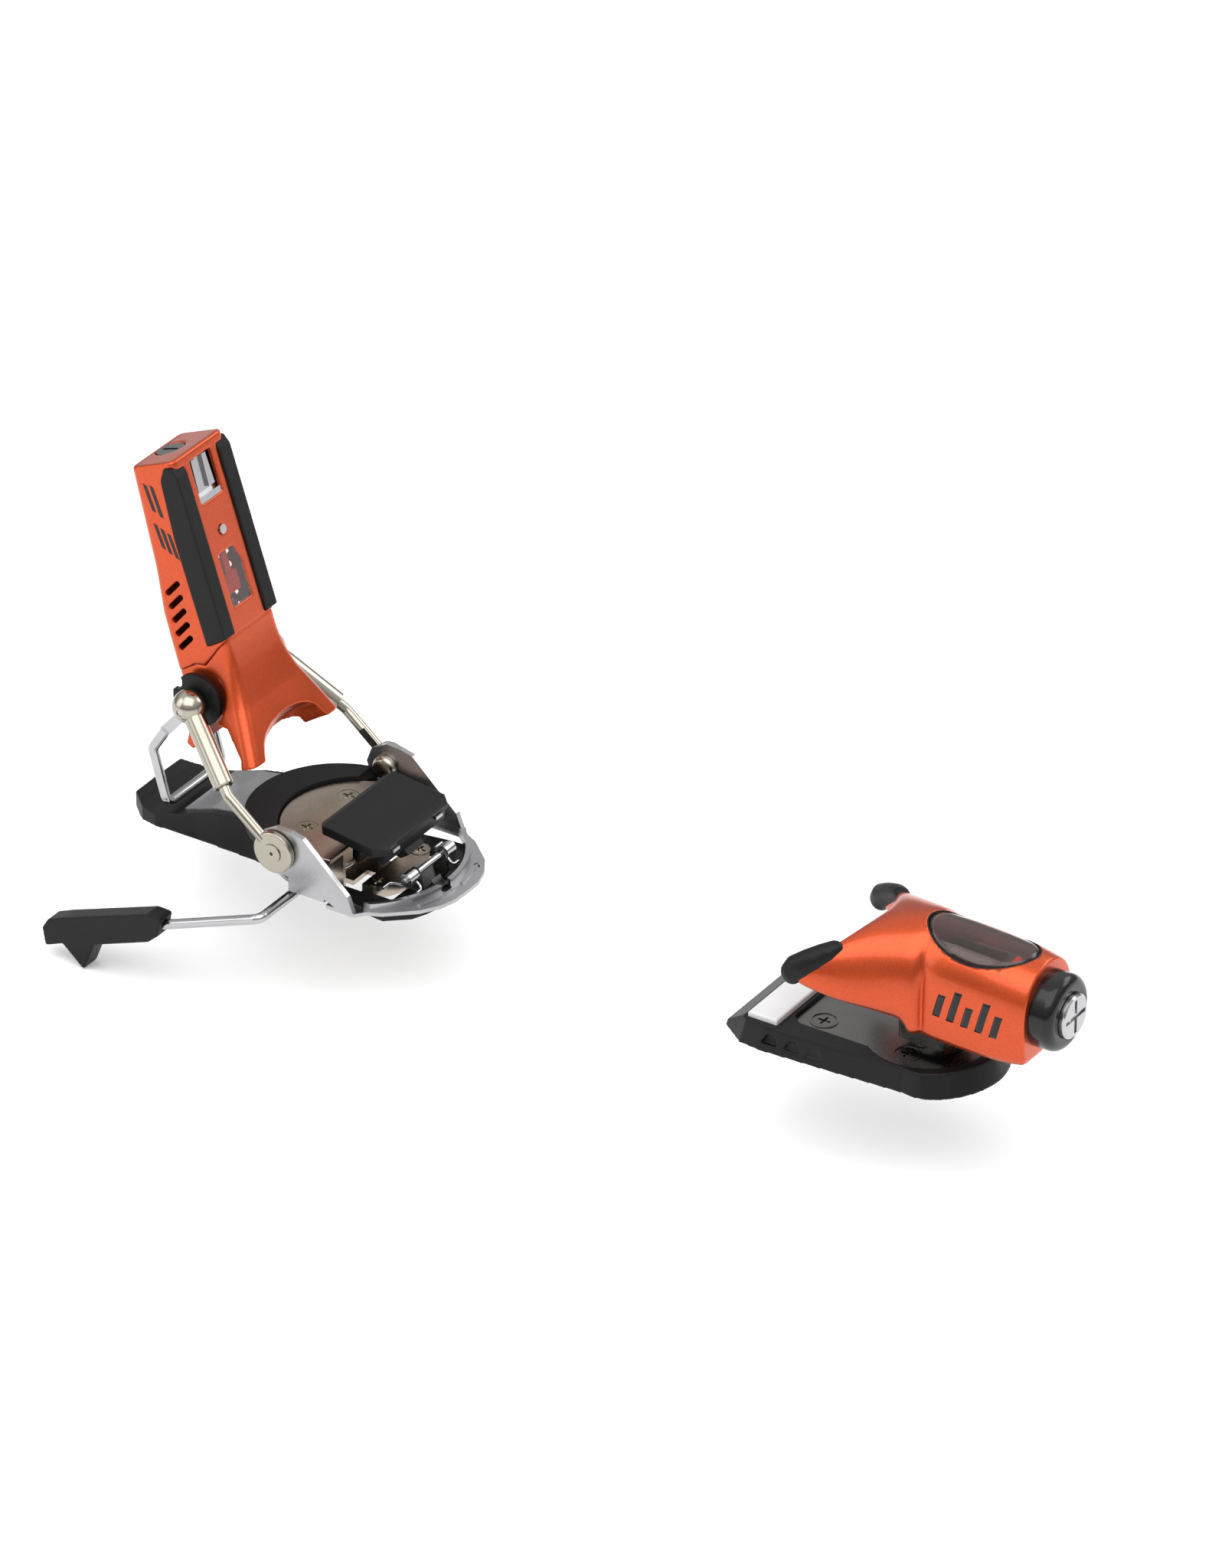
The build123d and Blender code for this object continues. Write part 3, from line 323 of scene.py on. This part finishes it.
def cut(piece, tools):
    for tool in tools:
        modifier = piece.modifiers.new("cut", "BOOLEAN")
        modifier.operation = "DIFFERENCE"
        modifier.solver = "EXACT"
        modifier.object = tool
    apply_modifiers(piece)
    for tool in tools:
        bpy.data.objects.remove(tool)


def half_skin(bm, loops, closed):
    """Faces between neighbouring loops of the near half; closed says which loops run right round."""
    rings = [[bm.verts.new(point) for point in loop] for loop in loops]
    for (low, high), ring in zip(zip(rings, rings[1:]), closed):
        pairs = list(zip(range(len(low)), range(1, len(low))))
        if ring:
            pairs.append((len(low) - 1, 0))
        for i, j in pairs:
            bm.faces.new((low[i], low[j], high[j], high[i]))
    return rings


def mirror_half(bm):
    """Adds the far half of a half model whose seam lies at y = 0."""
    source = list(bm.verts) + list(bm.edges) + list(bm.faces)
    copy = bmesh.ops.duplicate(bm, geom=source)
    verts = [item for item in copy["geom"] if isinstance(item, bmesh.types.BMVert)]
    bmesh.ops.scale(bm, vec=(1, -1, 1), verts=verts)
    bmesh.ops.reverse_faces(bm, faces=[item for item in copy["geom"] if isinstance(item, bmesh.types.BMFace)])
    bmesh.ops.remove_doubles(bm, verts=bm.verts, dist=0.01)


def crease(bm, chosen, value):
    layer = bm.edges.layers.float.get("crease_edge") or bm.edges.layers.float.new("crease_edge")
    for edge in bm.edges:
        if chosen(edge):
            edge[layer] = value


def prism(bm, outline, low, high):
    """A closed prism over an outline of (x, y) points."""
    bottom = [bm.verts.new((x, y, low)) for x, y in outline]
    top = [bm.verts.new((x, y, high)) for x, y in outline]
    bm.faces.new(bottom)
    bm.faces.new(list(reversed(top)))
    for i in range(len(outline)):
        j = (i + 1) % len(outline)
        bm.faces.new((bottom[i], bottom[j], top[j], top[i]))


# ---- toe housing ----
# Sections of the near half, from the wing's tip forwards. A wing section runs right round: outer bottom,
# outer side, outer shoulder, ridge, inner shoulder, inner side, inner low side, inner bottom.
WING_SECTIONS = [
    [(250.5, -38.4, 42.2), (250.2, -39.6, 44.5), (250.5, -38.6, 47.2), (251, -36.4, 48.6),
     (251, -34.4, 48), (251, -33, 46.5), (251, -33.4, 44), (251, -35.6, 42)],
    [(260, -37.2, 39.2), (260, -38.2, 45), (260, -36.4, 52.2), (260, -33.2, 55.6),
     (260, -30, 55.4), (260, -28.8, 51), (260, -29.6, 44), (260, -32.5, 39.6)],
    [(270, -34.9, 35), (270, -35.2, 44), (269.5, -31.4, 55.4), (268.8, -25.6, 61.4),
     (268.5, -20, 63), (270, -18.5, 58), (272, -21.5, 46), (271, -28, 37.5)],
    [(282, -31.2, 30.6), (282, -31.4, 44), (281, -25.8, 60.5), (278, -14.5, 68.8),
     (275.5, 0, 69), (277, 0, 62.5), (286, 0, 50), (288, 0, 31)],
]
# Body sections: bottom centre, bottom edge, side, shoulder, crown, top centre. The third and fourth are the
# two sides of the valley where the wings meet the barrel.
BODY_SECTIONS = [
    [(296, 0, 27.5), (299, -26.4, 27.0), (299, -26.8, 44), (297, -22.8, 61), (293, -12, 70.6),
     (291, 0, 72.4)],
    [(301, 0, 26), (303.8, -26.0, 26.4), (303.8, -26.2, 44), (301.4, -22.0, 60.8), (298, -11.8, 70.6),
     (297, 0, 72.8)],
    [(305, 0, 25.4), (305.6, -21.6, 25.4), (305.6, -21.4, 44.5), (304.4, -18.6, 59.6), (302, -11.0, 69.8),
     (301, 0, 72.8)],
    [(311, 0, 24.8), (310, -22.6, 25), (310, -22.6, 45), (310, -20.4, 59.6), (310, -12, 70), (310, 0, 73)],
    [(330, 0, 23.8), (330, -22, 24), (330, -22.6, 45), (330, -20.4, 59.4), (330, -12, 69.2), (330, 0, 72)],
    [(348, 0, 23.6), (348, -20.8, 23.8), (348, -21.8, 44), (348, -19.6, 58), (348, -11.6, 67),
     (348, 0, 69.8)],
    [(355.6, 0, 24.4), (355.6, -18.8, 24.6), (355.6, -20.6, 44), (355.6, -18.4, 57), (355.6, -10.8, 65.2),
     (355.6, 0, 67.8)],
    [(355.9, 0, 30), (355.9, -12, 31), (355.9, -14, 44), (355.9, -12, 54), (355.9, -7, 59), (355.9, 0, 60)],
]
WINDOW_CENTRE = (323.6, 0.0)
WINDOW_AXES = (27.0, 16.4)


def ellipse_outline(centre, axes):
    turns = [2 * pi * i / ELLIPSE_STEPS for i in range(ELLIPSE_STEPS)]
    return [(centre[0] + axes[0] * cos(t), centre[1] + axes[1] * sin(t)) for t in turns]


def toe_housing():
    bm = bmesh.new()
    wing = half_skin(bm, WING_SECTIONS, [True, True, True])
    bm.faces.new(wing[0])
    body = half_skin(bm, BODY_SECTIONS, [False] * (len(BODY_SECTIONS) - 1))
    outer, inner = wing[-1], body[0]
    # the wing's last section opens on to the first body section
    round_wing = (7, 0, 1, 2, 3, 4)
    for k in range(5):
        bm.faces.new((outer[round_wing[k]], outer[round_wing[k + 1]], inner[k + 1], inner[k]))
    mirror_half(bm)
    last = [v for v in bm.verts if abs(v.co.x - 355.9) < 0.01]
    last.sort(key=lambda v: Vector((v.co.y, v.co.z - 45)).angle_signed(Vector((0, -1))))
    bm.faces.new(last)

    valley_x = {round(v, 4) for v in (305.6, 304.4, 302.0)}

    def firm(edge):
        a, b = edge.verts
        valley = all(round(v.co.x, 4) in valley_x for v in (a, b)) and max(abs(a.co.y), abs(b.co.y)) > 11
        rim = all(abs(v.co.x - 355.6) < 0.05 for v in (a, b))
        low = all(v.co.z < 28 and abs(v.co.y) > 18 for v in (a, b))
        return valley or rim or low

    crease(bm, firm, 0.6)
    piece = finish_mesh("toe_housing_skin", bm, "orange_paint", "toe_head", ("toe_housing",))
    subdivide(piece, 3)
    crown = BVHTree.FromPolygons([v.co.copy() for v in piece.data.vertices],
                                 [tuple(face.vertices) for face in piece.data.polygons])
    hole, room, yoke_room = bmesh.new(), bmesh.new(), bmesh.new()
    prism(hole, ellipse_outline(WINDOW_CENTRE, WINDOW_AXES), 40, 90)
    prism(room, [(304, -15.2), (346, -15.2), (346, 15.2), (304, 15.2)], 29, 58)
    prism(yoke_room, [(276, -13.7), (324, -13.7), (324, 13.7), (276, 13.7)], 13, 41.3)
    cut(piece, [cutter("hole", hole), cutter("room", room), cutter("yoke_room", yoke_room)])
    return piece, crown


def crown_height(crown, x, y):
    """Height of the housing's crown over (x, y), as if the window weren't cut."""
    hit = crown.ray_cast(Vector((x, y, 120)) * MM, Vector((0, 0, -1)))
    return hit[0].z / MM


def window_lens(crown):
    """The clear cover, flush with the crown."""
    bm = bmesh.new()
    layers = []
    for drop in (0.25, 1.5):
        rings = [[bm.verts.new((WINDOW_CENTRE[0], 0, crown_height(crown, WINDOW_CENTRE[0], 0) - drop))]]
        for step in range(1, 11):
            axes = [(a - 0.75) * step / 10 for a in WINDOW_AXES]
            rings.append([bm.verts.new((x, y, crown_height(crown, x, y) - drop))
                          for x, y in ellipse_outline(WINDOW_CENTRE, axes)])
        layers.append(rings)
    for rings in layers:
        for i in range(ELLIPSE_STEPS):
            j = (i + 1) % ELLIPSE_STEPS
            bm.faces.new((rings[0][0], rings[1][i], rings[1][j]))
            for low, high in zip(rings[1:], rings[2:]):
                bm.faces.new((low[i], high[i], high[j], low[j]))
    for i in range(ELLIPSE_STEPS):
        j = (i + 1) % ELLIPSE_STEPS
        bm.faces.new((layers[0][-1][i], layers[0][-1][j], layers[1][-1][j], layers[1][-1][i]))
    return finish_mesh("toe_window_lens", bm, "clear_cover", "toe_head", ("toe_window",))


def window_gasket(crown):
    """The thin black rim round the cover."""
    bm = bmesh.new()
    outer = ellipse_outline(WINDOW_CENTRE, [a - 0.02 for a in WINDOW_AXES])
    inner = ellipse_outline(WINDOW_CENTRE, [a - 0.72 for a in WINDOW_AXES])
    loops = []
    for outline, drop in ((outer, 0.05), (inner, 0.05), (inner, 3.0), (outer, 3.0)):
        loops.append([bm.verts.new((x, y, crown_height(crown, x, y) - drop)) for x, y in outline])
    for a, b in zip(loops, loops[1:] + loops[:1]):
        for i in range(ELLIPSE_STEPS):
            j = (i + 1) % ELLIPSE_STEPS
            bm.faces.new((a[i], a[j], b[j], b[i]))
    return finish_mesh("toe_gasket", bm, "black_rubber", "toe_head")


def boxes(name, corners, slot, body, replaced=()):
    """A piece made of separate boxes, each given by its low and high corners."""
    bm = bmesh.new()
    for low, high in corners:
        outline = [(low[0], low[1]), (high[0], low[1]), (high[0], high[1]), (low[0], high[1])]
        prism(bm, outline, low[2], high[2])
    return finish_mesh(name, bm, slot, body, replaced, smooth=False)


def toe_scale():
    """The setting scale under the window: an orange plate, dark graduations and a dark frame."""
    plate = [((305, -13.4, 57.6), (338, -4.2, 58.6))]
    boxes("toe_scale_plate", plate, "orange_paint", "toe_head", ("scale_plate",))
    ticks = [((307 + 3.4 * i, -13.0, 58.6), (308.6 + 3.4 * i, -9.0 if i % 2 else -5.6, 58.8))
             for i in range(9)]
    boxes("toe_scale_ticks", ticks, "black_gloss", "toe_head")
    rails = [((303, 5.0, 57.6), (342, 7.0, 61.0)), ((303, -3.6, 56.8), (306, 6.0, 61.0)),
             ((334, -12.5, 58.7), (341, 5.0, 61.4))]
    boxes("toe_scale_frame", rails, "black_gloss", "toe_head")


def heel_marks():
    """Slanted bars painted on the sides of the leaning housing."""
    lean = radians(HOUSING_LEAN)
    bars = [((-9.4, 84), (1.9, 13)), ((-6.0, 81), (1.9, 15)), ((-10.0, 66), (1.8, 12)),
            ((-7.0, 63.5), (1.8, 12)), ((-4.0, 61), (1.8, 12))]
    for side, name in ((-1, "heel_mark_right"), (1, "heel_mark_left")):
        bm = bmesh.new()
        for (u, w), (width, height) in bars:
            corners = [(u, w), (u + width, w - 1.2), (u + width - 0.9, w - 1.2 + height),
                       (u - 0.9, w + height)]
            near, far = [], []
            for cu, cw in corners:
                x = HOUSING[0] + cu * cos(lean) - cw * sin(lean)
                z = HOUSING[1] + cu * sin(lean) + cw * cos(lean)
                near.append(bm.verts.new((x, side * HOUSING_SIDE, z)))
                far.append(bm.verts.new((x, side * (HOUSING_SIDE - 0.28), z)))
            bm.faces.new(near)
            bm.faces.new(list(reversed(far)))
            for i in range(4):
                j = (i + 1) % 4
                bm.faces.new((near[i], near[j], far[j], far[i]))
        finish_mesh(name, bm, "black_gloss", "heel_housing", smooth=False)


# ---- castings and mouldings ----
def casting(node_name, body, slot, voxel=0.45, passes=8):
    """A copy of a CAD node with every edge rounded over, as on a cast or moulded part."""
    node = frame["nodes"][node_name]
    piece = bpy.data.objects.new(node_name + "_cast", node.data.copy())
    bpy.context.collection.objects.link(piece)
    remesh = piece.modifiers.new("remesh", "REMESH")
    remesh.mode = "VOXEL"
    remesh.voxel_size = voxel * MM
    remesh.use_smooth_shade = True
    smooth = piece.modifiers.new("smooth", "SMOOTH")
    smooth.factor = 0.5
    smooth.iterations = passes
    apply_modifiers(piece)
    if node_name == "toe_base":
        round_front(piece)
    paint(piece, slot)
    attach(piece, body)
    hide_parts(node_name)


# The toe base's faceted front, from the middle to the side, and the arc that it is rounded to.
FRONT_FACETS = [(333.5, 0), (330, 11), (322.6, 24.5), (313, 31.3), (271.5, 34)]
FRONT_CENTRE = 297.0
FRONT_ARC = 36.2
FRONT_KEPT = 29.0


def facet_radius(angle):
    """Distance from the front's centre to its facets, at an angle from the forward direction."""
    corners = [(x - FRONT_CENTRE, y) for x, y in FRONT_FACETS]
    for (ax, ay), (bx, by) in zip(corners, corners[1:]):
        if angle <= atan2(by, bx):
            return (ax * by - ay * bx) / (cos(angle) * (by - ay) - sin(angle) * (bx - ax))
    return corners[-1][1]


def round_front(piece):
    """Turns the toe base's faceted front into one smooth arc."""
    for vert in piece.data.vertices:
        x, y = vert.co.x / MM - FRONT_CENTRE, vert.co.y / MM
        reach = hypot(x, y)
        if x <= 0 or reach <= FRONT_KEPT:
            continue
        facet = facet_radius(atan2(abs(y), x))
        share = min(1.0, max(0.0, (radians(80) - atan2(abs(y), x)) / radians(28)))
        arc = facet * (1 - share) + FRONT_ARC * share
        grow = (FRONT_KEPT + (reach - FRONT_KEPT) * (arc - FRONT_KEPT) / (facet - FRONT_KEPT)) / reach
        vert.co.x = (FRONT_CENTRE + x * grow) * MM
        vert.co.y = y * grow * MM


def softened(node_name, width, angle=32.0):
    """Breaks the sharp edges of a CAD node."""
    modifier = frame["nodes"][node_name].modifiers.new("broken_edges", "BEVEL")
    modifier.width = width * MM
    modifier.segments = 2
    modifier.limit_method = "ANGLE"
    modifier.angle_limit = radians(angle)
    modifier.harden_normals = True


CASTINGS = {
    "heel_cup": ("heel_housing", "orange_paint", 0.45, 14),
    "heel_shell": ("heel_housing", "orange_paint", 0.45, 7),
    "heel_strip_right": ("heel_housing", "black_rubber", 0.4, 14),
    "heel_strip_left": ("heel_housing", "black_rubber", 0.4, 14),
    "step_spur": ("heel_housing", "orange_paint", 0.45, 8),
    "heel_base": ("turntable", "black_plastic", 0.5, 6),
    "toe_base": ("ski_bases", "black_plastic", 0.5, 5),
    "brake_foot_right": ("brake_arms", "black_plastic", 0.45, 5),
    "brake_foot_left": ("brake_arms", "black_plastic", 0.45, 5),
    "brake_pedal": ("pedal", "black_plastic", 0.4, 4),
    "rear_bumper": ("turntable", "black_rubber", 0.4, 4),
    "toe_ring": ("toe_head", "black_gloss", 0.4, 6),
    "knuckle_ring_right": ("heel_housing", "black_plastic", 0.3, 3),
    "knuckle_ring_left": ("heel_housing", "black_plastic", 0.3, 3),
}
SOFTENED = {"turntable_ring": 0.25,
            "brake_bracket": 0.25, "toe_plate": 0.3, "afd_pad": 0.3, "heel_tail_plate": 0.2,
            "heel_insert": 0.2}


def make_castings():
    for name, (body, slot, voxel, passes) in CASTINGS.items():
        casting(name, body, slot, voxel, passes)
    for name, width in SOFTENED.items():
        softened(name, width)


# Centre and radii of the ellipsoids that a wing's pad is swept through, from its tip inwards.
PAD_PATH = [((249.4, 36.4, 45.4), (5.2, 4.0, 5.6)), ((252.2, 35.4, 48.4), (6.6, 4.4, 5.8)),
            ((257.0, 33.0, 52.0), (6.6, 4.2, 5.2)), ((262.0, 29.8, 55.6), (5.6, 3.8, 4.4)),
            ((266.0, 26.4, 58.6), (4.0, 3.0, 3.0))]


def wing_pad(side, name, node_name):
    """The smooth black pad that caps a wing's tip and runs along its inner edge."""
    bm = bmesh.new()
    for (c0, r0), (c1, r1) in zip(PAD_PATH, PAD_PATH[1:]):
        for step in range(8):
            t = step / 8
            centre = [p * (1 - t) + q * t for p, q in zip(c0, c1)]
            radii = [p * (1 - t) + q * t for p, q in zip(r0, r1)]
            made = bmesh.ops.create_icosphere(bm, subdivisions=3, radius=1.0)
            for vert in made["verts"]:
                vert.co = Vector((centre[0] + vert.co.x * radii[0], side * (centre[1] + vert.co.y * radii[1]),
                                  centre[2] + vert.co.z * radii[2]))
    piece = finish_mesh(name, bm, "black_plastic", "toe_head", (node_name,))
    remesh = piece.modifiers.new("remesh", "REMESH")
    remesh.mode = "VOXEL"
    remesh.voxel_size = 0.4 * MM
    remesh.use_smooth_shade = True
    smooth = piece.modifiers.new("smooth", "SMOOTH")
    smooth.factor = 0.5
    smooth.iterations = 10
    apply_modifiers(piece)


# ---- painted marks ----
def marks_on(name, target, bars, slot, body, start_y):
    """Slanted bars painted on a near-vertical side: four (x, z) corners each, laid on target's surface."""
    bm = bmesh.new()
    across, along = 4, 10
    for corners in bars:
        (ax, az), (bx, bz), (cx, cz), (dx, dz) = corners
        rows = {}
        for i in range(across + 1):
            for j in range(along + 1):
                s, t = i / across, j / along
                x = (ax * (1 - s) + bx * s) * (1 - t) + (dx * (1 - s) + cx * s) * t
                z = (az * (1 - s) + bz * s) * (1 - t) + (dz * (1 - s) + cz * s) * t
                ray = target.ray_cast(Vector((x, start_y, z)) * MM, Vector((0, -1 if start_y > 0 else 1, 0)))
                y = ray[1].y / MM
                out = 1 if start_y > 0 else -1
                rows[i, j] = [bm.verts.new((x, y + out * 0.08, z)), bm.verts.new((x, y - out * 0.3, z))]
        for i in range(across):
            for j in range(along):
                for k in (0, 1):
                    bm.faces.new([rows[a][k] for a in ((i, j), (i + 1, j), (i + 1, j + 1), (i, j + 1))])
        rim = [(i, 0) for i in range(across)] + [(across, j) for j in range(along)]
        rim += [(i, along) for i in range(across, 0, -1)] + [(0, j) for j in range(along, 0, -1)]
        for a, b in zip(rim, rim[1:] + rim[:1]):
            bm.faces.new([rows[a][0], rows[b][0], rows[b][1], rows[a][1]])
    finish_mesh(name, bm, slot, body)


def slanted_bars(start, step, heights, width, slant):
    """A row of parallelograms: start is the first foot, step the way from foot to foot."""
    bars = []
    for i, height in enumerate(heights):
        x, z = start[0] + step[0] * i, start[1] + step[1] * i
        dx, dz = slant[0] * height, slant[1] * height
        bars.append([(x, z), (x + width, z + width * step[1] / max(step[0], 0.1) * 0.2),
                     (x + width + dx, z + dz), (x + dx, z + dz)])
    return bars


# ---- putting it together ----
toe_skin, toe_crown = toe_housing()
window_lens(toe_crown)
window_gasket(toe_crown)
toe_scale()
heel_marks()
wing_pad(-1, "wing_pad_right_skin", "wing_pad_right")
wing_pad(1, "wing_pad_left_skin", "wing_pad_left")
toe_bars = slanted_bars((311.5, 37.5), (7.0, -0.5), (11, 15, 10, 15, 11), 3.6, (0.25, 1))
marks_on("toe_mark_right", toe_skin, toe_bars, "black_gloss", "toe_head", -60)
marks_on("toe_mark_left", toe_skin, toe_bars, "black_gloss", "toe_head", 60)
make_castings()


def make_floor():
    size = 30.0
    level = cad_bounds[0][2] - 0.0005
    mesh = bpy.data.meshes.new("floor")
    corners = [(-size, -size, level), (size, -size, level), (size, size, level), (-size, size, level)]
    mesh.from_pydata(corners, [], [(0, 1, 2, 3)])
    floor = bpy.data.objects.new("floor", mesh)
    bpy.context.collection.objects.link(floor)
    material, tree, shader = new_material("floor")
    speckle = noise(tree, object_coords(tree), 40.0)
    tree.links.new(tint_between(tree, speckle, (0.88, 0.88, 0.88), (0.90, 0.90, 0.90)),
                   shader.inputs["Base Color"])
    shader.inputs["Roughness"].default_value = 0.9
    # a faint glow of its own keeps the shadow pale
    shader.inputs["Emission Color"].default_value = (1, 1, 1, 1)
    shader.inputs["Emission Strength"].default_value = 0.10
    mesh.materials.append(material)


make_floor()
